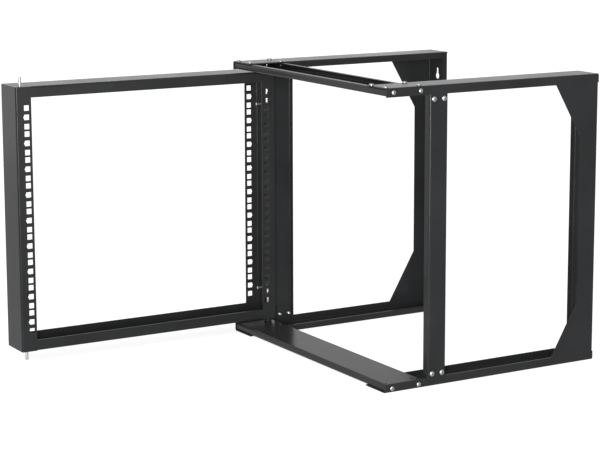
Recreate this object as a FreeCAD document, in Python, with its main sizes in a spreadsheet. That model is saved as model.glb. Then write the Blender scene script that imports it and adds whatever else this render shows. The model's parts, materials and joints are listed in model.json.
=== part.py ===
import FreeCAD, Part
import os
import re

# Open-frame wall rack with a swing-out 19-inch gate, 9 rack units high.
# Two folded side frames are tied by a top and a bottom crossbar at the front.
# The gate hangs on two vertical pins at the left and is shown standing open at
# a right angle. Two spring pins at its other end lock it into the crossbars.
#
# Frame of reference: +Z up, +Y towards the wall, +X to the right of a person
# facing the rack. The origin is on the floor, under the middle of the outline
# with the gate open. All sizes are in millimetres.

os.makedirs("parts", exist_ok=True)

doc = FreeCAD.newDocument("swing_gate_rack")

# ---------------------------------------------------------------- dimensions
DIMS = [
    # side frames
    ("frame_width", 510.0), ("frame_depth", 430.0), ("frame_height", 500.0),
    ("sheet", 2.0), ("bend_outer", 3.5), ("bend_inner", 1.5),
    ("mid_x", 20.5), ("front_y", 0.5),
    ("rail_flange", 60.0), ("rail_web", 15.0), ("rail_lip", 12.0),
    ("lip_start", 77.0),
    ("upright_web", 35.0), ("upright_lip", 11.0),
    ("gusset_run", 55.0), ("gusset_rise", 94.0),
    ("post_start", 83.3), ("post_width", 36.0),
    ("post_lip", 14.0), ("post_rear_lip", 9.0),
    ("splice_width", 29.0), ("splice_height", 36.0),
    # wall fixing
    ("key_x", 28.0), ("key_drop", 48.0), ("key_round", 12.5),
    ("key_slot", 7.0), ("key_rise", 12.5),
    ("wall_hole", 9.0), ("wall_hole_rise", 45.0),
    # crossbars
    ("bar_inset", 1.5), ("bar_depth", 73.0), ("bar_height", 12.0), ("bar_return", 10.0),
    ("bolt_hole", 4.5), ("bolt_in", 10.0), ("bolt_front", 8.0), ("bolt_rear", 69.0),
    # gate
    ("gate_width", 504.0), ("gate_height", 460.0), ("gate_depth", 66.0),
    ("gate_side_gap", 3.0), ("gate_lip", 19.0),
    ("strip_width", 28.0), ("corner_return", 7.0),
    ("unit_height", 44.45), ("hole_low", 6.35), ("hole_mid", 22.225), ("hole_high", 38.1),
    ("hole_size", 9.5), ("hole_in", 19.45), ("notch_radius", 3.0), ("notch_depth", 1.4),
    # pins
    ("pin_dia", 5.0), ("pin_clear", 0.25), ("pin_in", 12.0), ("pin_back", 10.0),
    ("pin_y", 61.0), ("pin_out", 16.0), ("pin_drop", 59.2),
    ("pin_heel", 2.8), ("pin_tip", 1.0),
    ("lever_length", 22.0), ("lever_dia", 4.0), ("knob_dia", 5.0), ("knob_length", 5.0),
    ("guide_drop", 49.0), ("guide_side", 12.0), ("guide_reach", 14.5), ("guide_foot", 14.0),
]
dims = doc.addObject("Spreadsheet::Sheet", "dims")
for row, (alias, value) in enumerate(DIMS, start=1):
    dims.set("A%d" % row, alias)
    dims.set("B%d" % row, str(value))
    dims.setAlias("B%d" % row, alias)
doc.recompute()
VALUE = dict(DIMS)
ALIAS = re.compile(r"\b(" + "|".join(sorted(VALUE, key=len, reverse=True)) + r")\b")


def expr(text):
    """Turn a formula of sheet names into an expression on the sheet."""
    return ALIAS.sub(r"dims.\1", str(text))


def num(text):
    """The present value of a formula of sheet names."""
    names = ALIAS.sub(lambda m: repr(VALUE[m.group(1)]), str(text))
    return float(FreeCAD.Units.Quantity(names).Value)


# Reference planes, as formulas of the sheet.
RIGHT = "(mid_x + frame_width / 2)"
LEFT = "(mid_x - frame_width / 2)"
FRONT = "front_y"
BACK = "(front_y + frame_depth)"
PIN_X = "(mid_x - frame_width / 2 + gate_side_gap + pin_in)"
PIN_Y = "(front_y + pin_y)"
GATE_BACK = "(mid_x - frame_width / 2 + gate_side_gap + pin_in + pin_back)"
GATE_FRONT = "(mid_x - frame_width / 2 + gate_side_gap + pin_in + pin_back - gate_depth)"
GATE_END = "(front_y + pin_y + pin_in)"
GATE_FREE = "(front_y + pin_y + pin_in - gate_width)"
GATE_LOW = "((frame_height - gate_height) / 2)"
GATE_HIGH = "((frame_height + gate_height) / 2)"


# ------------------------------------------------------------------- helpers
def place(obj, x, y, z):
    obj.setExpression("Placement.Base.x", expr(x))
    obj.setExpression("Placement.Base.y", expr(y))
    obj.setExpression("Placement.Base.z", expr(z))
    return obj


def box(name, x, y, z, length, width, height):
    obj = doc.addObject("Part::Box", name)
    obj.setExpression("Length", expr(length))
    obj.setExpression("Width", expr(width))
    obj.setExpression("Height", expr(height))
    return place(obj, x, y, z)


def rod(name, x, y, z, diameter, height, along="z"):
    obj = doc.addObject("Part::Cylinder", name)
    obj.setExpression("Radius", expr("(%s) / 2" % diameter))
    obj.setExpression("Height", expr(height))
    turn = {"z": FreeCAD.Rotation(),
            "x": FreeCAD.Rotation(FreeCAD.Vector(0, 1, 0), 90),
            "-x": FreeCAD.Rotation(FreeCAD.Vector(0, 1, 0), -90),
            "y": FreeCAD.Rotation(FreeCAD.Vector(1, 0, 0), -90),
            "-y": FreeCAD.Rotation(FreeCAD.Vector(1, 0, 0), 90)}[along]
    obj.Placement = FreeCAD.Placement(FreeCAD.Vector(0, 0, 0), turn)
    return place(obj, x, y, z)


def cut(name, base, tool):
    obj = doc.addObject("Part::Cut", name)
    obj.Base = base
    obj.Tool = tool
    return obj


def fuse(name, *shapes):
    obj = doc.addObject("Part::MultiFuse", name)
    obj.Shapes = list(shapes)
    obj.Refine = True
    return obj


def mirror(name, source, normal):
    obj = doc.addObject("Part::Mirroring", name)
    obj.Source = source
    obj.Normal = normal
    return obj


def mirror_x(name, source, plane):
    obj = mirror(name, source, FreeCAD.Vector(1, 0, 0))
    obj.setExpression("Base.x", expr(plane))
    return obj


def mirror_y(name, source, plane):
    obj = mirror(name, source, FreeCAD.Vector(0, 1, 0))
    obj.setExpression("Base.y", expr(plane))
    return obj


def mirror_z(name, source):
    obj = mirror(name, source, FreeCAD.Vector(0, 0, 1))
    obj.setExpression("Base.z", expr("frame_height / 2"))
    return obj


def rounded(name, base, radius, *lines):
    """Round the straight edges of base that run through the given lines.

    A line is an axis and the two other coordinates: ("y", x, z) and so on."""
    doc.recompute()
    spots = {"x": (1, 2), "y": (0, 2), "z": (0, 1)}
    edges = []
    for axis, first, second in lines:
        i, j = spots[axis]
        want = (num(first), num(second))
        for k, edge in enumerate(base.Shape.Edges, start=1):
            a, b = edge.Vertexes[0].Point, edge.Vertexes[-1].Point
            here = all(abs(p[i] - want[0]) < 1e-3 and abs(p[j] - want[1]) < 1e-3 for p in (a, b))
            if here and a.distanceToPoint(b) > 1e-3:
                edges.append((k, VALUE[radius], VALUE[radius]))
    if not edges:
        raise RuntimeError("no edge to round on " + name)
    obj = doc.addObject("Part::Fillet", name)
    obj.Base = base
    obj.Edges = edges
    return obj


def blunted(name, base, radius, z):
    """Round the circular edge of a round bar that lies at height z."""
    doc.recompute()
    obj = doc.addObject("Part::Fillet", name)
    obj.Base = base
    obj.Edges = [(k, VALUE[radius], VALUE[radius]) for k, edge in enumerate(base.Shape.Edges, start=1)
                 if edge.Closed and abs(edge.CenterOfMass.z - num(z)) < 1e-3]
    return obj


NODES = []


def node(obj, label):
    obj.Label = label
    NODES.append(obj)
    return obj


# --------------------------------------------------------------- side frames
# Top rail, right: a folded channel open below, its inner lip cut away at the
# front where the crossbar lies inside it.
RAIL_IN = "(mid_x + frame_width / 2 - rail_flange)"
RAIL_Z = "(frame_height - rail_web)"
o = box("rail_block", RAIL_IN, FRONT, RAIL_Z, "rail_flange", "frame_depth", "rail_web")
o = rounded("rail_block_bends", o, "bend_outer", ("y", RIGHT, "frame_height"), ("y", RAIL_IN, "frame_height"))
i = box("rail_hollow", RAIL_IN + " + sheet", FRONT + " - 1", RAIL_Z + " - 1",
        "rail_flange - 2 * sheet", "frame_depth + 2", "rail_web - sheet + 1")
i = rounded("rail_hollow_bends", i, "bend_inner",
            ("y", RIGHT + " - sheet", "frame_height - sheet"), ("y", RAIL_IN + " + sheet", "frame_height - sheet"))
channel = cut("rail_channel", o, i)
lip = box("rail_lip_trim", RAIL_IN + " - 1", FRONT + " - 1", RAIL_Z + " - 1",
          "sheet + 2", "frame_depth + 2", "rail_web - rail_lip + 1")
notch = box("rail_lip_notch", RAIL_IN + " - 1", FRONT + " - 1", RAIL_Z + " - 1",
            "sheet + bend_inner + 1.5", "lip_start + 1", "rail_web - sheet + 1")
tail = box("rail_lip_tail", RAIL_IN + " - 1", BACK + " - upright_lip", RAIL_Z + " - 1",
           "sheet + bend_inner + 1.5", "upright_lip + 1", "rail_web - sheet + 1")
rail = cut("rail_trimmed", channel, fuse("rail_trims", lip, notch, tail))
tab = box("rail_splice", RIGHT + " - 2 * sheet", FRONT + " + post_start + 3.5",
          "frame_height - splice_height", "sheet", "splice_width", "splice_height - sheet - 1")
right_top_rail = node(fuse("right_top_rail", rail, tab), "right_top_rail")
left_top_rail = node(mirror_x("left_top_rail", right_top_rail, "mid_x"), "left_top_rail")
right_bottom_rail = node(mirror_z("right_bottom_rail", right_top_rail), "right_bottom_rail")
left_bottom_rail = node(mirror_z("left_bottom_rail", left_top_rail), "left_bottom_rail")

# Back upright, right: the side web with its two gussets, the flange that lies
# on the wall with a keyhole near the top and a round hole near the bottom, and
# a short inner lip.
UP_Y = "(front_y + frame_depth - upright_web)"
o = box("upright_block", RAIL_IN, UP_Y, "sheet", "rail_flange", "upright_web", "frame_height - 2 * sheet")
o = rounded("upright_block_bends", o, "bend_outer", ("z", RIGHT, BACK), ("z", RAIL_IN, BACK))
i = box("upright_hollow", RAIL_IN + " + sheet", UP_Y + " - 1", "sheet - 1",
        "rail_flange - 2 * sheet", "upright_web - sheet + 1", "frame_height")
i = rounded("upright_hollow_bends", i, "bend_inner",
            ("z", RIGHT + " - sheet", BACK + " - sheet"), ("z", RAIL_IN + " + sheet", BACK + " - sheet"))
channel = cut("upright_channel", o, i)
lip = box("upright_lip_trim", RAIL_IN + " - 1", UP_Y + " - 1", "sheet - 1",
          "sheet + 2", "upright_web - upright_lip + 1", "frame_height")
low = box("upright_foot_trim", RIGHT + " - bend_outer", UP_Y + " - 1", "sheet - 1",
          "bend_outer + 1", "upright_web + 2", "rail_web - sheet + 1")
high = mirror_z("upright_head_trim", low)
upright = cut("upright_trimmed", channel, fuse("upright_trims", lip, low, high))
gusset = doc.addObject("Part::Wedge", "upright_gusset_top")
for prop, text in (("Xmin", "0"), ("Xmax", "sheet"), ("X2min", "0"), ("X2max", "sheet"),
                   ("Ymin", "0"), ("Ymax", "gusset_rise"),
                   ("Zmin", "0"), ("Zmax", "gusset_run"), ("Z2min", "gusset_run"), ("Z2max", "gusset_run")):
    gusset.setExpression(prop, expr(text))
gusset.Placement = FreeCAD.Placement(FreeCAD.Vector(0, 0, 0), FreeCAD.Rotation(FreeCAD.Vector(1, 0, 0), -90))
place(gusset, RIGHT + " - sheet", UP_Y + " - gusset_run", RAIL_Z)
gusset_low = mirror_z("upright_gusset_bottom", gusset)
upright = fuse("upright_with_gussets", upright, gusset, gusset_low)
KEY_X = "(mid_x + frame_width / 2 - key_x)"
key = rod("keyhole_round", KEY_X, BACK + " - sheet - 1", "frame_height - key_drop", "key_round", "sheet + 2", "y")
slot = box("keyhole_slot", KEY_X + " - key_slot / 2", BACK + " - sheet - 1", "frame_height - key_drop",
           "key_slot", "sheet + 2", "key_rise")
slot_end = rod("keyhole_slot_end", KEY_X, BACK + " - sheet - 1", "frame_height - key_drop + key_rise",
               "key_slot", "sheet + 2", "y")
hole = rod("wall_hole_cut", KEY_X, BACK + " - sheet - 1", "wall_hole_rise", "wall_hole", "sheet + 2", "y")
right_back_upright = node(cut("right_back_upright", upright, fuse("wall_holes", key, slot, slot_end, hole)),
                          "right_back_upright")
left_back_upright = node(mirror_x("left_back_upright", right_back_upright, "mid_x"), "left_back_upright")

# Front post, right: a folded post set back behind the gate, flush with the webs.
POST_Y = "(front_y + post_start)"
o = box("post_block", RIGHT + " - post_lip", POST_Y, "rail_web", "post_lip", "post_width",
        "frame_height - 2 * rail_web")
o = rounded("post_block_bends", o, "bend_outer", ("z", RIGHT, POST_Y), ("z", RIGHT, POST_Y + " + post_width"))
i = box("post_hollow", RIGHT + " - post_lip - 1", POST_Y + " + sheet", "rail_web - 1",
        "post_lip - sheet + 1", "post_width - 2 * sheet", "frame_height")
i = rounded("post_hollow_bends", i, "bend_inner",
            ("z", RIGHT + " - sheet", POST_Y + " + sheet"),
            ("z", RIGHT + " - sheet", POST_Y + " + post_width - sheet"))
channel = cut("post_channel", o, i)
trim = box("post_rear_lip_trim", RIGHT + " - post_lip - 1", POST_Y + " + post_width - sheet - 1", "rail_web - 1",
           "post_lip - post_rear_lip + 1", "sheet + 2", "frame_height")
right_front_post = node(cut("right_front_post", channel, trim), "right_front_post")

# Front post, left: only a web and a rear lip, so that the gate clears its front
# edge when it swings past the right angle.
o = box("hinge_post_block", RIGHT + " - post_rear_lip", POST_Y, "rail_web", "post_rear_lip", "post_width",
        "frame_height - 2 * rail_web")
o = rounded("hinge_post_block_bend", o, "bend_outer", ("z", RIGHT, POST_Y + " + post_width"))
i = box("hinge_post_hollow", RIGHT + " - post_rear_lip - 1", POST_Y + " - 1", "rail_web - 1",
        "post_rear_lip - sheet + 1", "post_width - sheet + 1", "frame_height")
i = rounded("hinge_post_hollow_bend", i, "bend_inner", ("z", RIGHT + " - sheet", POST_Y + " + post_width - sheet"))
angle = cut("hinge_post_angle", o, i)
left_front_post = node(mirror_x("left_front_post", angle, "mid_x"), "left_front_post")

# Crossbars: shallow channels between the side webs, with a short return along
# each lip for the screws of the rails. The upper one lies with its open side up
# under the flanges of the top rails, and the lower one the other way up on the
# bottom rails. Both carry the pin holes of the gate.
BAR_Y = "(front_y + bar_inset)"
BAR_Z = "(frame_height - sheet - bar_height)"
BAR_TOP = "(frame_height - sheet)"
BAR_X = "(mid_x - frame_width / 2 + sheet)"
BAR_L = "(frame_width - 2 * sheet)"
o = box("bar_block", BAR_X, BAR_Y, BAR_Z, BAR_L, "bar_depth", "bar_height")
o = rounded("bar_block_bends", o, "bend_outer",
            ("x", BAR_Y, BAR_Z), ("x", BAR_Y + " + bar_depth", BAR_Z),
            ("x", BAR_Y, BAR_TOP), ("x", BAR_Y + " + bar_depth", BAR_TOP))
i = box("bar_hollow", BAR_X + " + sheet", BAR_Y + " + sheet", BAR_Z + " + sheet",
        BAR_L + " - 2 * sheet", "bar_depth - 2 * sheet", "bar_height - 2 * sheet")
i = rounded("bar_hollow_bends", i, "bend_inner",
            ("x", BAR_Y + " + sheet", BAR_Z + " + sheet"),
            ("x", BAR_Y + " + bar_depth - sheet", BAR_Z + " + sheet"),
            ("x", BAR_Y + " + sheet", BAR_TOP + " - sheet"),
            ("x", BAR_Y + " + bar_depth - sheet", BAR_TOP + " - sheet"))
mouth = box("bar_mouth", BAR_X + " + sheet", BAR_Y + " + bar_return", BAR_TOP + " - sheet - 1",
            BAR_L + " - 2 * sheet", "bar_depth - 2 * bar_return", "sheet + 2")
channel = cut("bar_channel", o, fuse("bar_inside", i, mouth))
relief_l = box("bar_relief_left", BAR_X + " - 1", BAR_Y + " - 1", "frame_height - sheet - bend_inner - 0.1",
               "bend_inner + 1.1", "bar_depth + 2", "bend_inner + 1")
relief_r = mirror_x("bar_relief_right", relief_l, "mid_x")
eye_l = rod("bar_eye_left", PIN_X, PIN_Y, BAR_Z + " - 1", "pin_dia + 2 * pin_clear", "sheet + 2")
eye_r = mirror_x("bar_eye_right", eye_l, "mid_x")
top_crossbar = node(cut("top_crossbar", channel, fuse("bar_openings", eye_l, eye_r, relief_l, relief_r)), "top_crossbar")
below = mirror_z("bar_below", top_crossbar)
bolts_l = []
for k, along in enumerate(("bolt_front", "bolt_rear"), start=1):
    bolts_l.append(rod("bar_bolt_hole_%d" % k, LEFT + " + bolt_in", FRONT + " + " + along, "bar_height - 1",
                       "bolt_hole", "sheet + 3"))
holes_l = fuse("bar_bolt_holes_left", *bolts_l)
holes_r = mirror_x("bar_bolt_holes_right", holes_l, "mid_x")
bottom_crossbar = node(cut("bottom_crossbar", below, fuse("bar_bolt_holes", holes_l, holes_r)), "bottom_crossbar")

# --------------------------------------------------------------------- gate
GATE_MID_X = "(mid_x - frame_width / 2 + gate_side_gap + pin_in + pin_back - gate_depth / 2)"
GATE_MID_Y = "(front_y + pin_y + pin_in - gate_width / 2)"

# End web, hinge side: the outer wall of the folded upright with both bends.
o = box("end_block", GATE_FRONT, GATE_END + " - corner_return", GATE_LOW, "gate_depth", "corner_return", "gate_height")
o = rounded("end_block_bends", o, "bend_outer", ("z", GATE_FRONT, GATE_END), ("z", GATE_BACK, GATE_END))
i = box("end_hollow", GATE_FRONT + " + sheet", GATE_END + " - corner_return - 1", GATE_LOW + " - 1",
        "gate_depth - 2 * sheet", "corner_return - sheet + 1", "gate_height + 2")
i = rounded("end_hollow_bends", i, "bend_inner",
            ("z", GATE_FRONT + " + sheet", GATE_END + " - sheet"),
            ("z", GATE_BACK + " - sheet", GATE_END + " - sheet"))
gate_hinge_web = node(cut("gate_hinge_web", o, i), "gate_hinge_web")
gate_latch_web = node(mirror_y("gate_latch_web", gate_hinge_web, GATE_MID_Y), "gate_latch_web")

# Rack rails: a row of square holes, three to each rack unit, on both faces of
# both uprights. The middle hole of each unit has a small round notch.
strip = box("strip_block", GATE_BACK + " - sheet", GATE_END + " - strip_width", GATE_LOW,
            "sheet", "strip_width - corner_return", "gate_height")
HOLE_Y = "(front_y + pin_y + pin_in - hole_in)"
UNIT_Z = "((frame_height - 9 * unit_height) / 2)"
punches = []
for unit in range(9):
    for spot in ("hole_low", "hole_mid", "hole_high"):
        z = "%s + %d * unit_height + %s" % (UNIT_Z, unit, spot)
        punches.append(box("punch_%d_%s" % (unit + 1, spot), GATE_BACK + " - sheet - 1",
                           HOLE_Y + " - hole_size / 2", z + " - hole_size / 2",
                           "sheet + 2", "hole_size", "hole_size"))
        if spot == "hole_mid":
            punches.append(rod("notch_%d" % (unit + 1), GATE_BACK + " - sheet - 1",
                               HOLE_Y + " + hole_size / 2 + notch_depth - notch_radius", z,
                               "2 * notch_radius", "sheet + 2", "x"))
gate_hinge_back_rail = node(cut("gate_hinge_back_rail", strip, fuse("rack_holes", *punches)), "gate_hinge_back_rail")
gate_hinge_front_rail = node(mirror_x("gate_hinge_front_rail", gate_hinge_back_rail, GATE_MID_X),
                             "gate_hinge_front_rail")
gate_latch_back_rail = node(mirror_y("gate_latch_back_rail", gate_hinge_back_rail, GATE_MID_Y),
                            "gate_latch_back_rail")
gate_latch_front_rail = node(mirror_y("gate_latch_front_rail", gate_hinge_front_rail, GATE_MID_Y),
                             "gate_latch_front_rail")

# Top bar: a folded channel between the uprights, open towards the window. Its
# plain ends reach inside the uprights and carry the pins.
TOP_Z = "((frame_height + gate_height) / 2 - gate_lip)"
o = box("gate_bar_block", GATE_FRONT, GATE_FREE + " + strip_width", TOP_Z,
        "gate_depth", "gate_width - 2 * strip_width", "gate_lip")
o = rounded("gate_bar_block_bends", o, "bend_outer", ("y", GATE_FRONT, GATE_HIGH), ("y", GATE_BACK, GATE_HIGH))
i = box("gate_bar_hollow", GATE_FRONT + " + sheet", GATE_FREE + " + strip_width - 1", TOP_Z + " - 1",
        "gate_depth - 2 * sheet", "gate_width - 2 * strip_width + 2", "gate_lip - sheet + 1")
i = rounded("gate_bar_hollow_bends", i, "bend_inner",
            ("y", GATE_FRONT + " + sheet", GATE_HIGH + " - sheet"),
            ("y", GATE_BACK + " - sheet", GATE_HIGH + " - sheet"))
channel = cut("gate_bar_channel", o, i)
tongue_h = box("gate_bar_tongue_hinge", GATE_FRONT + " + sheet", GATE_END + " - strip_width",
               GATE_HIGH + " - sheet", "gate_depth - 2 * sheet", "strip_width - corner_return", "sheet")
tongue_h2 = box("gate_bar_tongue_hinge_end", GATE_FRONT + " + sheet + bend_inner", GATE_END + " - corner_return",
                GATE_HIGH + " - sheet", "gate_depth - 2 * sheet - 2 * bend_inner", "corner_return - sheet", "sheet")
tongue = fuse("gate_bar_tongue", tongue_h, tongue_h2)
tongue_l = mirror_y("gate_bar_tongue_latch", tongue, GATE_MID_Y)
eye = rod("gate_eye_hinge", PIN_X, PIN_Y, GATE_HIGH + " - sheet - 1", "pin_dia + 2 * pin_clear", "sheet + 2")
eye_2 = mirror_y("gate_eye_latch", eye, GATE_MID_Y)
gate_top_bar = node(cut("gate_top_bar", fuse("gate_bar_joined", channel, tongue, tongue_l),
                        fuse("gate_bar_eyes", eye, eye_2)), "gate_top_bar")
gate_bottom_bar = node(mirror_z("gate_bottom_bar", gate_top_bar), "gate_bottom_bar")

# Pins: a round bar through the top bar and a guide, with a short cross lever at
# its inner end. The levers of the hinge pins point along the gate, and those of
# the latch pins across it.
pin = rod("pin_bar", PIN_X, PIN_Y, GATE_HIGH + " - pin_drop - pin_heel", "pin_dia",
          "pin_drop + pin_heel + pin_out")
pin = blunted("pin_bar_tip", pin, "pin_tip", GATE_HIGH + " + pin_out")
lever = rod("pin_lever", PIN_X, PIN_Y, GATE_HIGH + " - pin_drop", "lever_dia", "lever_length - 1", "-y")
knob = rod("pin_knob", PIN_X, PIN_Y + " - lever_length", GATE_HIGH + " - pin_drop", "knob_dia", "knob_length", "y")
hinge_pin_top = node(fuse("hinge_pin_top", pin, lever, knob), "hinge_pin_top")
hinge_pin_bottom = node(mirror_z("hinge_pin_bottom", hinge_pin_top), "hinge_pin_bottom")
LATCH_Y = "(front_y + pin_y + 2 * pin_in - gate_width)"
latch_bar = mirror_y("latch_bar", pin, GATE_MID_Y)
latch_lever = rod("latch_lever", PIN_X, LATCH_Y, GATE_HIGH + " - pin_drop", "lever_dia", "lever_length - 1", "-x")
latch_knob = rod("latch_knob", PIN_X + " - lever_length", LATCH_Y, GATE_HIGH + " - pin_drop",
                 "knob_dia", "knob_length", "x")
latch_pin_top = node(fuse("latch_pin_top", latch_bar, latch_lever, latch_knob), "latch_pin_top")
latch_pin_bottom = node(mirror_z("latch_pin_bottom", latch_pin_top), "latch_pin_bottom")

# Guides: small angles on the end webs that steer the inner ends of the pins.
shelf = box("guide_shelf", PIN_X + " - guide_side / 2", GATE_END + " - sheet - guide_reach",
            GATE_HIGH + " - guide_drop", "guide_side", "guide_reach", "sheet")
foot = box("guide_foot_plate", PIN_X + " - guide_side / 2", GATE_END + " - 2 * sheet",
           GATE_HIGH + " - guide_drop", "guide_side", "sheet", "guide_foot")
eye = rod("guide_eye", PIN_X, PIN_Y, GATE_HIGH + " - guide_drop - 1", "pin_dia + 2 * pin_clear", "sheet + 2")
hinge_guide_top = node(cut("hinge_guide_top", fuse("guide_angle", shelf, foot), eye), "hinge_guide_top")
hinge_guide_bottom = node(mirror_z("hinge_guide_bottom", hinge_guide_top), "hinge_guide_bottom")
latch_guide_top = node(mirror_y("latch_guide_top", hinge_guide_top, GATE_MID_Y), "latch_guide_top")
latch_guide_bottom = node(mirror_y("latch_guide_bottom", hinge_guide_bottom, GATE_MID_Y), "latch_guide_bottom")

# -------------------------------------------------------------------- check
doc.recompute()
bad = [obj.Name for obj in doc.Objects if "Invalid" in obj.State or "Error" in obj.State]
for obj in NODES:
    if obj.Shape.isNull() or not obj.Shape.isValid() or obj.Shape.Volume <= 0:
        bad.append(obj.Label)
    elif len(obj.Shape.Solids) != 1:
        bad.append("%s has %d solids" % (obj.Label, len(obj.Shape.Solids)))
if bad:
    raise RuntimeError("failed: " + ", ".join(bad))

whole = FreeCAD.BoundBox()
volume = 0.0
for obj in NODES:
    whole.add(obj.Shape.BoundBox)
    volume += obj.Shape.Volume
    print("%-24s %9.0f mm3" % (obj.Label, obj.Shape.Volume))
print("outline", [round(v, 3) for v in (whole.XMin, whole.XMax, whole.YMin, whole.YMax, whole.ZMin, whole.ZMax)])
print("steel", round(volume * 7.85e-6, 3), "kg in", len(NODES), "pieces")

for obj in NODES:
    shape = obj.Shape
    if len(shape.Solids) == 1 and shape.ShapeType != "Solid":
        shape = shape.Solids[0]
    shape.exportStep(os.path.join("parts", obj.Label + ".step"))
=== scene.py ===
import json
import math
import random

import bmesh
import bpy
from mathutils import Matrix, Vector


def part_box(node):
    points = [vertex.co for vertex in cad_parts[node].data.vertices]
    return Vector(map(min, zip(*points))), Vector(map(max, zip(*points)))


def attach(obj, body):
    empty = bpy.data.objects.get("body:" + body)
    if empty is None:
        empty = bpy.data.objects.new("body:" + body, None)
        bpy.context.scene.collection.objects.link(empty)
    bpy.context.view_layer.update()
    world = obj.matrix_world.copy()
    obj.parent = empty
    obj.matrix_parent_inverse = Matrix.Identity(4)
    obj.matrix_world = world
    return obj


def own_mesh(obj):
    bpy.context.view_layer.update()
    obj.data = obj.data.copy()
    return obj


# Looks of the open-frame wall rack: powder-coated steel sheet, bright zinc
# screws, plain steel pins and springs, on a pale floor in soft light.
# All places are in metres in the frame of the loaded model.

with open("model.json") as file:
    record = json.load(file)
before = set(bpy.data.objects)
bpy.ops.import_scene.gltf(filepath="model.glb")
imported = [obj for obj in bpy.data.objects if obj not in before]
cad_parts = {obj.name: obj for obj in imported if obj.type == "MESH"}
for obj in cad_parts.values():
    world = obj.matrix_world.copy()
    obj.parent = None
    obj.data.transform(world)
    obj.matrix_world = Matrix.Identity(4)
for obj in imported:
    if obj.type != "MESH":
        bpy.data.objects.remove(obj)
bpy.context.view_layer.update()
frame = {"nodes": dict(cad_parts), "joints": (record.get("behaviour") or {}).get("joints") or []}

MM = 0.001
nodes = frame["nodes"]
dice = random.Random(19)

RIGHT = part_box("right_top_rail")[1].x
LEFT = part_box("left_top_rail")[0].x
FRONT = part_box("right_top_rail")[0].y
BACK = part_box("right_top_rail")[1].y
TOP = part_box("right_top_rail")[1].z


# ----------------------------------------------------------------- materials
def material(name):
    """A new node material with its shader, and a helper that adds linked nodes."""
    mat = bpy.data.materials.new(name)
    mat.use_nodes = True
    tree = mat.node_tree
    shader = tree.nodes["Principled BSDF"]

    def add(kind, inputs=None, **settings):
        made = tree.nodes.new(kind)
        for key, value in settings.items():
            setattr(made, key, value)
        for key, value in (inputs or {}).items():
            if isinstance(value, bpy.types.NodeSocket):
                tree.links.new(value, made.inputs[key])
            else:
                made.inputs[key].default_value = value
        return made

    return mat, shader, add, tree.links.new


def ramp(add, factor, *stops):
    made = add("ShaderNodeValToRGB", {"Fac": factor})
    while len(made.color_ramp.elements) < len(stops):
        made.color_ramp.elements.new(0.5)
    for element, (place, colour) in zip(made.color_ramp.elements, stops):
        element.position = place
        element.color = (*colour, 1.0)
    return made.outputs["Color"]


def span(add, value, low, high, from_low=0.3, from_high=0.7):
    made = add("ShaderNodeMapRange", {"Value": value, "From Min": from_low, "From Max": from_high,
                                      "To Min": low, "To Max": high})
    return made.outputs["Result"]


def powder_coat():
    """Semi-matt black powder coat: fine grain, a soft orange peel under it, faint clouds in tone and gloss, and a
    trace of dust on what faces up, which also serves as painted light that lightens the upward faces."""
    mat, shader, add, link = material("black_powder_coat")
    place = add("ShaderNodeTexCoord").outputs["Object"]
    grain = add("ShaderNodeTexNoise", {"Vector": place, "Scale": 1500.0, "Detail": 3.0, "Roughness": 0.6})
    peel = add("ShaderNodeTexNoise", {"Vector": place, "Scale": 330.0, "Detail": 2.0, "Roughness": 0.5})
    cloud = add("ShaderNodeTexNoise", {"Vector": place, "Scale": 7.0, "Detail": 5.0, "Roughness": 0.62})
    fleck = add("ShaderNodeTexVoronoi", {"Vector": place, "Scale": 620.0})
    tone = add("ShaderNodeMath", {0: cloud.outputs["Fac"], 1: grain.outputs["Fac"]}, operation="ADD")
    tone = add("ShaderNodeMath", {0: tone.outputs[0], 1: 0.5}, operation="MULTIPLY")
    coat = ramp(add, tone.outputs[0], (0.36, (0.0117, 0.0120, 0.0126)), (0.64, (0.0186, 0.0191, 0.0199)))
    # Dust and painted light: faces pointing up are mixed towards a lighter grey, partly a trace of dust and partly
    # painted light falling on top faces.
    facing = add("ShaderNodeSeparateXYZ", {"Vector": add("ShaderNodeNewGeometry").outputs["Normal"]})
    up = span(add, facing.outputs["Z"], 0.0, 1.0, 0.55, 0.98)
    dust_and_top_light = add("ShaderNodeTexNoise", {"Vector": place, "Scale": 38.0, "Detail": 6.0, "Roughness": 0.7})
    dust_and_top_light = span(add, dust_and_top_light.outputs["Fac"], 0.05, 0.30, 0.35, 0.75)
    speck = span(add, fleck.outputs["Distance"], 1.0, 0.6, 0.0, 0.5)
    dust_and_top_light = add("ShaderNodeMath", {0: dust_and_top_light, 1: speck}, operation="MULTIPLY")
    dust_and_top_light = add("ShaderNodeMath", {0: dust_and_top_light.outputs[0], 1: up}, operation="MULTIPLY")
    mix = add("ShaderNodeMix", {"Factor": dust_and_top_light.outputs[0]}, data_type="RGBA")
    link(coat, mix.inputs["A"])
    mix.inputs["B"].default_value = (0.085, 0.085, 0.083, 1.0)
    link(mix.outputs["Result"], shader.inputs["Base Color"])
    gloss = add("ShaderNodeMath", {0: cloud.outputs["Fac"], 1: peel.outputs["Fac"]}, operation="ADD")
    link(span(add, gloss.outputs[0], 0.18, 0.26, 0.7, 1.3), shader.inputs["Roughness"])
    shader.inputs["Specular IOR Level"].default_value = 0.15
    first = add("ShaderNodeBump", {"Height": peel.outputs["Fac"], "Strength": 0.30, "Distance": 0.00016})
    second = add("ShaderNodeBump", {"Height": grain.outputs["Fac"], "Strength": 0.35, "Distance": 0.00009,
                                    "Normal": first.outputs["Normal"]})
    link(second.outputs["Normal"], shader.inputs["Normal"])
    return mat


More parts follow.
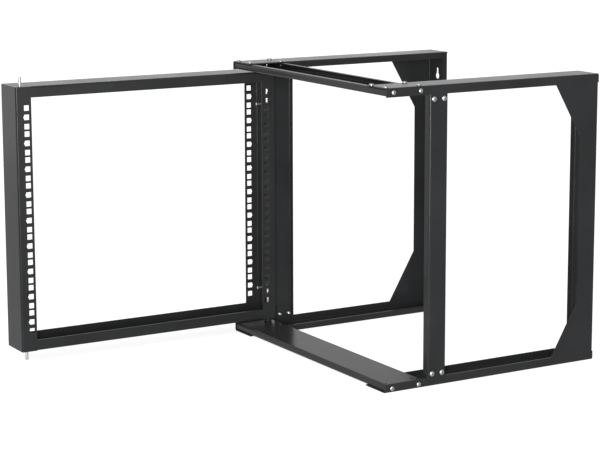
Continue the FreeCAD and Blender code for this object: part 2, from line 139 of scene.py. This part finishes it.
def zinc_plate():
    """Bright zinc on screws and collars: slightly cloudy plating with fine pits."""
    mat, shader, add, link = material("bright_zinc_plate")
    place = add("ShaderNodeTexCoord").outputs["Object"]
    cloud = add("ShaderNodeTexNoise", {"Vector": place, "Scale": 420.0, "Detail": 4.0, "Roughness": 0.6})
    pits = add("ShaderNodeTexNoise", {"Vector": place, "Scale": 5200.0, "Detail": 2.0})
    link(ramp(add, cloud.outputs["Fac"], (0.30, (0.41, 0.415, 0.43)), (0.70, (0.58, 0.58, 0.57))),
         shader.inputs["Base Color"])
    link(span(add, cloud.outputs["Fac"], 0.30, 0.46), shader.inputs["Roughness"])
    shader.inputs["Metallic"].default_value = 1.0
    bump = add("ShaderNodeBump", {"Height": pits.outputs["Fac"], "Strength": 0.25, "Distance": 0.00003})
    link(bump.outputs["Normal"], shader.inputs["Normal"])
    return mat


def drawn_steel(name, dark, light):
    """Bright drawn bar or wire: long fine lines along its length."""
    mat, shader, add, link = material(name)
    place = add("ShaderNodeTexCoord").outputs["Object"]
    along = add("ShaderNodeMapping", {"Vector": place, "Scale": (2200.0, 2200.0, 55.0)})
    lines = add("ShaderNodeTexNoise", {"Vector": along.outputs["Vector"], "Scale": 1.0, "Detail": 3.0})
    cloud = add("ShaderNodeTexNoise", {"Vector": place, "Scale": 160.0, "Detail": 3.0})
    tone = add("ShaderNodeMath", {0: cloud.outputs["Fac"], 1: lines.outputs["Fac"]}, operation="ADD")
    tone = add("ShaderNodeMath", {0: tone.outputs[0], 1: 0.5}, operation="MULTIPLY")
    link(ramp(add, tone.outputs[0], (0.35, dark), (0.65, light)), shader.inputs["Base Color"])
    link(span(add, tone.outputs[0], 0.28, 0.44, 0.35, 0.65), shader.inputs["Roughness"])
    shader.inputs["Metallic"].default_value = 1.0
    bump = add("ShaderNodeBump", {"Height": lines.outputs["Fac"], "Strength": 0.2, "Distance": 0.00003})
    link(bump.outputs["Normal"], shader.inputs["Normal"])
    return mat


def black_nylon():
    """Turned nylon washers: dark, waxy, with faint turning rings."""
    mat, shader, add, link = material("black_nylon")
    place = add("ShaderNodeTexCoord").outputs["Object"]
    rings = add("ShaderNodeTexWave", {"Vector": place, "Scale": 900.0, "Distortion": 0.6, "Detail": 1.0},
                wave_type="RINGS", rings_direction="Z")
    cloud = add("ShaderNodeTexNoise", {"Vector": place, "Scale": 250.0, "Detail": 3.0})
    link(ramp(add, cloud.outputs["Fac"], (0.3, (0.006, 0.006, 0.0065)), (0.7, (0.012, 0.012, 0.0125))),
         shader.inputs["Base Color"])
    link(span(add, cloud.outputs["Fac"], 0.50, 0.68), shader.inputs["Roughness"])
    shader.inputs["Specular IOR Level"].default_value = 0.2
    bump = add("ShaderNodeBump", {"Height": rings.outputs["Fac"], "Strength": 0.15, "Distance": 0.00005})
    link(bump.outputs["Normal"], shader.inputs["Normal"])
    return mat


def floor_paper():
    """Pale seamless floor."""
    mat, shader, add, link = material("pale_floor")
    place = add("ShaderNodeTexCoord").outputs["Object"]
    cloud = add("ShaderNodeTexNoise", {"Vector": place, "Scale": 1.5, "Detail": 4.0})
    link(ramp(add, cloud.outputs["Fac"], (0.3, (0.44, 0.44, 0.44)), (0.7, (0.46, 0.46, 0.46))),
         shader.inputs["Base Color"])
    shader.inputs["Roughness"].default_value = 0.85
    shader.inputs["Specular IOR Level"].default_value = 0.1
    shader.inputs["Emission Color"].default_value = (1.0, 1.0, 1.0, 1.0)
    shader.inputs["Emission Strength"].default_value = 0.76
    return mat


POWDER = powder_coat()
ZINC = zinc_plate()
PIN = drawn_steel("bright_drawn_bar", (0.38, 0.38, 0.39), (0.52, 0.52, 0.515))
WIRE = drawn_steel("spring_wire", (0.42, 0.42, 0.44), (0.66, 0.66, 0.66))
NYLON = black_nylon()

for name, obj in nodes.items():
    obj.data.materials.clear()
    obj.data.materials.append(PIN if "_pin_" in name else POWDER)


# -------------------------------------------------------------- mesh helpers
def lathe(profile, count):
    """Turn a profile of (radius, height) points about z. Radius 0 makes a pole."""
    verts, rows, faces = [], [], []
    for radius, height in profile:
        if radius <= 0.0:
            rows.append([len(verts)])
            verts.append((0.0, 0.0, height))
        else:
            rows.append(list(range(len(verts), len(verts) + count)))
            for k in range(count):
                a = 2 * math.pi * k / count
                verts.append((radius * math.cos(a), radius * math.sin(a), height))
    for low, high in zip(rows, rows[1:]):
        for k in range(count):
            n = (k + 1) % count
            if len(low) == 1 and len(high) == 1:
                continue
            if len(low) == 1:
                faces.append((low[0], high[n], high[k]))
            elif len(high) == 1:
                faces.append((low[k], low[n], high[0]))
            else:
                faces.append((low[k], low[n], high[n], high[k]))
    return verts, faces


def thread(radius, pitch, low, high, count=18):
    """A bar with a helical thread between two heights, tapered at the low end."""
    depth = 0.55 * pitch
    steps = max(8, int(round((high - low) / pitch * 6)))
    verts, faces = [], []
    for i in range(steps + 1):
        z = low + (high - low) * i / steps
        lead = min(1.0, (z - low) / pitch + 0.25)
        for k in range(count):
            a = 2 * math.pi * k / count
            phase = (z / pitch - k / count) % 1.0
            r = (radius - depth * abs(2 * phase - 1)) * (0.72 + 0.28 * lead)
            verts.append((r * math.cos(a), r * math.sin(a), z))
    for i in range(steps):
        for k in range(count):
            n = (k + 1) % count
            faces.append((i * count + k, i * count + n, (i + 1) * count + n, (i + 1) * count + k))
    faces.append(tuple(reversed(range(count))))
    faces.append(tuple(range(steps * count, steps * count + count)))
    return verts, faces


def wire(points, radius, count=10):
    """A round wire along points, closed at both ends."""
    verts, faces = [], []
    side = None
    for i, p in enumerate(points):
        t = (points[min(i + 1, len(points) - 1)] - points[max(i - 1, 0)]).normalized()
        side = t.orthogonal().normalized() if side is None else (side - side.dot(t) * t).normalized()
        up = t.cross(side)
        for k in range(count):
            a = 2 * math.pi * k / count
            verts.append(tuple(p + radius * (math.cos(a) * side + math.sin(a) * up)))
    for i in range(len(points) - 1):
        for k in range(count):
            n = (k + 1) % count
            faces.append((i * count + k, i * count + n, (i + 1) * count + n, (i + 1) * count + k))
    faces.append(tuple(reversed(range(count))))
    faces.append(tuple(range((len(points) - 1) * count, len(points) * count)))
    return verts, faces


def as_mesh(name, *shapes):
    """One mesh of several (verts, faces) shapes and ready meshes, in millimetres."""
    bm = bmesh.new()
    for shape in shapes:
        if isinstance(shape, bpy.types.Mesh):
            bm.from_mesh(shape)
            continue
        made = [bm.verts.new(v) for v in shape[0]]
        for face in shape[1]:
            bm.faces.new([made[i] for i in face])
    bmesh.ops.recalc_face_normals(bm, faces=bm.faces)
    mesh = bpy.data.meshes.new(name)
    bm.to_mesh(mesh)
    bm.free()
    return mesh


def carved(body, tool):
    """The mesh of one shape with another taken away."""
    pair = []
    for k, shape in enumerate((body, tool)):
        obj = bpy.data.objects.new("carving_%d" % k, as_mesh("carving_%d" % k, shape))
        bpy.context.scene.collection.objects.link(obj)
        pair.append(obj)
    cut = pair[0].modifiers.new("cut", "BOOLEAN")
    cut.operation, cut.object, cut.solver = "DIFFERENCE", pair[1], "EXACT"
    mesh = bpy.data.meshes.new_from_object(pair[0].evaluated_get(bpy.context.evaluated_depsgraph_get()))
    for obj in pair:
        bpy.data.objects.remove(obj)
    return mesh


def finished(mesh, mat, angle=32.0):
    """Scale a millimetre mesh to metres, give it its material and smooth its round faces."""
    mesh.transform(Matrix.Scale(MM, 4))
    mesh.materials.clear()
    mesh.materials.append(mat)
    mesh.shade_smooth()
    mesh.set_sharp_from_angle(angle=math.radians(angle))
    return mesh


def put(name, mesh, body, at, out=(0, 0, 1), turn=0.0):
    """Place a mesh with its z along out, turned about that axis, riding on a body."""
    obj = bpy.data.objects.new(name, mesh)
    bpy.context.scene.collection.objects.link(obj)
    spin = Vector(out).to_track_quat("Z", "Y").to_matrix().to_4x4() @ Matrix.Rotation(turn, 4, "Z")
    obj.matrix_world = Matrix.Translation(Vector(at)) @ spin
    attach(obj, body)
    return obj


# ------------------------------------------------------------------- screws
def cross_recess(top, wide, narrow, depth):
    """The tapered cross of a screwdriver slot, open at the given height."""
    def ring(arm, half, z):
        return [(half, arm, z), (half, half, z), (arm, half, z), (arm, -half, z), (half, -half, z), (half, -arm, z),
                (-half, -arm, z), (-half, -half, z), (-arm, -half, z), (-arm, half, z), (-half, half, z), (-half, arm, z)]
    high = ring(wide * 1.12, wide * 0.27, top + 0.4)
    low = ring(narrow, narrow * 0.36, top - depth)
    faces = [(k, (k + 1) % 12, 12 + (k + 1) % 12, 12 + k) for k in range(12)]
    return high + low, faces + [tuple(range(12)), tuple(range(12, 24))]


def pan_head(radius, height):
    """A low domed screw head with a rolled rim and a cross recess."""
    dome = [(0.0, height)]
    for k in range(1, 11):
        t = math.radians(90 * k / 10)
        dome.append((radius * math.sin(t), 0.75 + (height - 0.75) * math.cos(t) ** 0.85 if k < 10 else 0.75))
    rim = [(radius, 0.35), (radius - 0.12, 0.1), (radius - 0.35, 0.0), (0.0, 0.0)]
    return carved(lathe(list(reversed(dome + rim)), 40), cross_recess(height, radius * 0.52, radius * 0.24, height * 0.72))


def flat_head(radius, height):
    """A countersunk head, flush at its face."""
    shape = [(0.0, -height), (1.95, -height), (radius, -0.3), (radius, -0.06), (radius - 0.1, 0.0), (0.0, 0.0)]
    return carved(lathe(shape, 40), cross_recess(0.0, radius * 0.5, radius * 0.24, height * 0.8))


side_screw = finished(as_mesh("side_screw", pan_head(3.9, 2.9), thread(2.0, 0.7, -7.5, 0.2)), ZINC)
post_screw = finished(as_mesh("post_screw", pan_head(4.5, 3.1), thread(2.5, 0.8, -9.6, 0.2)), ZINC)
top_screw = finished(as_mesh("top_screw", pan_head(4.3, 2.7), thread(2.0, 0.7, -8.8, 0.2)), ZINC)
foot_screw = finished(as_mesh("foot_screw", flat_head(3.9, 2.2), thread(1.95, 0.7, -9.2, -1.5)), ZINC)

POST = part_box("right_front_post")[0].y
for side, x, out in (("right", RIGHT, 1), ("left", LEFT, -1)):
    inward = -out
    for end, z_bar, z_post in (("top", TOP - 7.5 * MM, TOP - 22.5 * MM), ("bottom", 7.0 * MM, 21.0 * MM)):
        for k, y in enumerate((13.0, 65.0), start=1):
            put("%s_%s_bar_screw_%d" % (side, end, k), side_screw, "frame",
                (x, FRONT + y * MM, z_bar), (out, 0, 0), dice.uniform(0, 1.57))
        for k, y in enumerate((8.0, 27.5), start=1):
            put("%s_%s_post_screw_%d" % (side, end, k), post_screw, "frame",
                (x, POST + y * MM, z_post), (out, 0, 0), dice.uniform(0, 1.57))
    for k, (dx, y) in enumerate(((11.0, 5.0), (53.0, 5.0), (11.0, 69.0), (53.0, 69.0)), start=1):
        put("%s_flange_screw_%d" % (side, k), top_screw, "frame",
            (x + inward * dx * MM, FRONT + y * MM, TOP), (0, 0, 1), dice.uniform(0, 1.57))
    for k, (dx, y) in enumerate(((10.0, 8.0), (52.0, 8.0), (10.0, 69.0), (52.0, 69.0)), start=1):
        put("%s_foot_screw_%d" % (side, k), foot_screw, "frame",
            (x + inward * dx * MM, FRONT + y * MM, -0.0001), (0, 0, -1), dice.uniform(0, 1.57))


# ------------------------------------------------- pins, springs and washers
def coil(inner, gauge, turns, length):
    """A compression spring about z, from 0 to length, with closed end turns."""
    r = inner + gauge / 2
    points = []
    steps = int(turns * 28)
    for i in range(steps + 1):
        t = i / steps
        n = turns * t
        rise = min(n, 1.0) * gauge * 0.5 + max(0.0, min(n, turns - 1.0) - 1.0) / (turns - 2.0) * (length - 2 * gauge)
        rise += max(0.0, n - (turns - 1.0)) * gauge * 0.5
        a = 2 * math.pi * n
        points.append(Vector((r * math.cos(a), r * math.sin(a), gauge / 2 + rise)))
    return wire(points, gauge / 2)


GATE_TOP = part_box("gate_top_bar")[1].z
HINGE = Vector(next(j for j in frame["joints"] if j["name"] == "gate_swing")["pos_m"])
LATCH_Y = 2 * (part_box("gate_top_bar")[0].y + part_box("gate_top_bar")[1].y) / 2 - HINGE.y
SHELF_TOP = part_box("latch_guide_top")[0].z + 2.0 * MM

spring_mesh = finished(as_mesh("latch_spring", coil(3.1, 0.9, 8.0, 24.0)), WIRE, 50.0)
collar_mesh = finished(as_mesh("pin_collar", lathe([(2.52, 0.0), (4.6, 0.0), (4.75, 0.15), (4.75, 0.95), (4.6, 1.1), (2.52, 1.1)], 40),
                               lathe([(2.45, 1.1), (3.7, 1.1), (3.85, 1.3), (3.85, 3.2), (3.6, 3.5), (2.45, 3.5)], 40)), ZINC)
washer_mesh = finished(as_mesh("hinge_washer", lathe([(2.75, 0.0), (6.4, 0.0), (6.6, 0.25), (6.6, 2.5), (6.3, 2.75),
                                                      (6.3, 2.95), (6.6, 3.2), (6.6, 5.45), (6.4, 5.7), (2.75, 5.7)], 48)), NYLON)

for end, sign, body in (("top", 1, "latch_top"), ("bottom", -1, "latch_bottom")):
    z = SHELF_TOP if sign > 0 else TOP - SHELF_TOP
    spring = put("latch_spring_" + end, spring_mesh.copy(), "gate", (HINGE.x, LATCH_Y, z), (0, 0, sign))
    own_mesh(spring)
    put("latch_collar_" + end, collar_mesh, body, (HINGE.x, LATCH_Y, z + sign * 24.0 * MM), (0, 0, sign))
    put("hinge_washer_" + end, washer_mesh, "gate",
        (HINGE.x, HINGE.y, GATE_TOP if sign > 0 else TOP - GATE_TOP), (0, 0, sign))

# ---------------------------------------------------------- floor and lights
floor = bpy.data.meshes.new("floor")
bm = bmesh.new()
bmesh.ops.create_grid(bm, x_segments=8, y_segments=8, size=14.0)
bm.to_mesh(floor)
bm.free()
floor.materials.append(floor_paper())
floor = bpy.data.objects.new("floor", floor)
bpy.context.scene.collection.objects.link(floor)
floor.visible_glossy = False
floor.visible_diffuse = False
floor.visible_shadow = False

# A white room that is brighter towards the front left and above.
world = bpy.data.worlds.new("studio")
world.use_nodes = True
tree = world.node_tree
sky = tree.nodes["Background"]
sky.inputs["Color"].default_value = (1.0, 1.0, 1.0, 1.0)
way = tree.nodes.new("ShaderNodeTexCoord")
side_light = tree.nodes.new("ShaderNodeVectorMath")
side_light.operation = "DOT_PRODUCT"
side_light.inputs[1].default_value = (-0.55, -0.75, 0.37)
tree.links.new(way.outputs["Generated"], side_light.inputs[0])
level = tree.nodes.new("ShaderNodeMapRange")
for key, value in (("From Min", -1.0), ("From Max", 1.0), ("To Min", 0.53), ("To Max", 0.88)):
    level.inputs[key].default_value = value
tree.links.new(side_light.outputs["Value"], level.inputs["Value"])
path = tree.nodes.new("ShaderNodeLightPath")
shown = tree.nodes.new("ShaderNodeMath")
shown.operation = "MAXIMUM"
tree.links.new(level.outputs["Result"], shown.inputs[0])
tree.links.new(path.outputs["Is Camera Ray"], shown.inputs[1])
tree.links.new(shown.outputs[0], sky.inputs["Strength"])
bpy.context.scene.world = world


def soft_light(name, at, target, size, power):
    data = bpy.data.lights.new(name, "AREA")
    data.shape = "RECTANGLE"
    data.size, data.size_y = size
    data.energy = power
    obj = bpy.data.objects.new(name, data)
    obj.location = at
    obj.rotation_euler = (Vector(target) - Vector(at)).to_track_quat("-Z", "Y").to_euler()
    obj.visible_camera = False
    bpy.context.scene.collection.objects.link(obj)
    return obj


soft_light("strip", (2.45, -1.6, 0.6), (0.2, 0.0, 0.25), (0.45, 1.4), 135.0)
soft_light("key", (-1.9, -1.7, 0.7), (-0.1, -0.1, 0.25), (1.6, 1.4), 3.5)
soft_light("side", (2.7, 0.45, 0.35), (-0.2, -0.2, 0.25), (1.2, 1.0), 6.0)
soft_light("back", (-5.2, 2.95, 0.7), (0.0, 0.1, 0.5), (6.0, 0.8), 6.0)

# -------------------------------------------------------------------- camera
lens = bpy.data.cameras.new("camera")
lens.sensor_width = 36.0
lens.lens = 116.327
lens.shift_x, lens.shift_y = -0.05, -0.05
lens.clip_start, lens.clip_end = 0.05, 60.0
camera = bpy.data.objects.new("camera", lens)
camera.location = (2.8428, -1.6671, 0.8523)
camera.rotation_euler = (math.radians(90.0 - 9.71), 0.0, math.radians(58.679))
bpy.context.scene.collection.objects.link(camera)
bpy.context.scene.camera = camera

look = bpy.context.scene.view_settings
look.view_transform, look.look, look.exposure, look.gamma = "Standard", "None", 0.0, 1.0
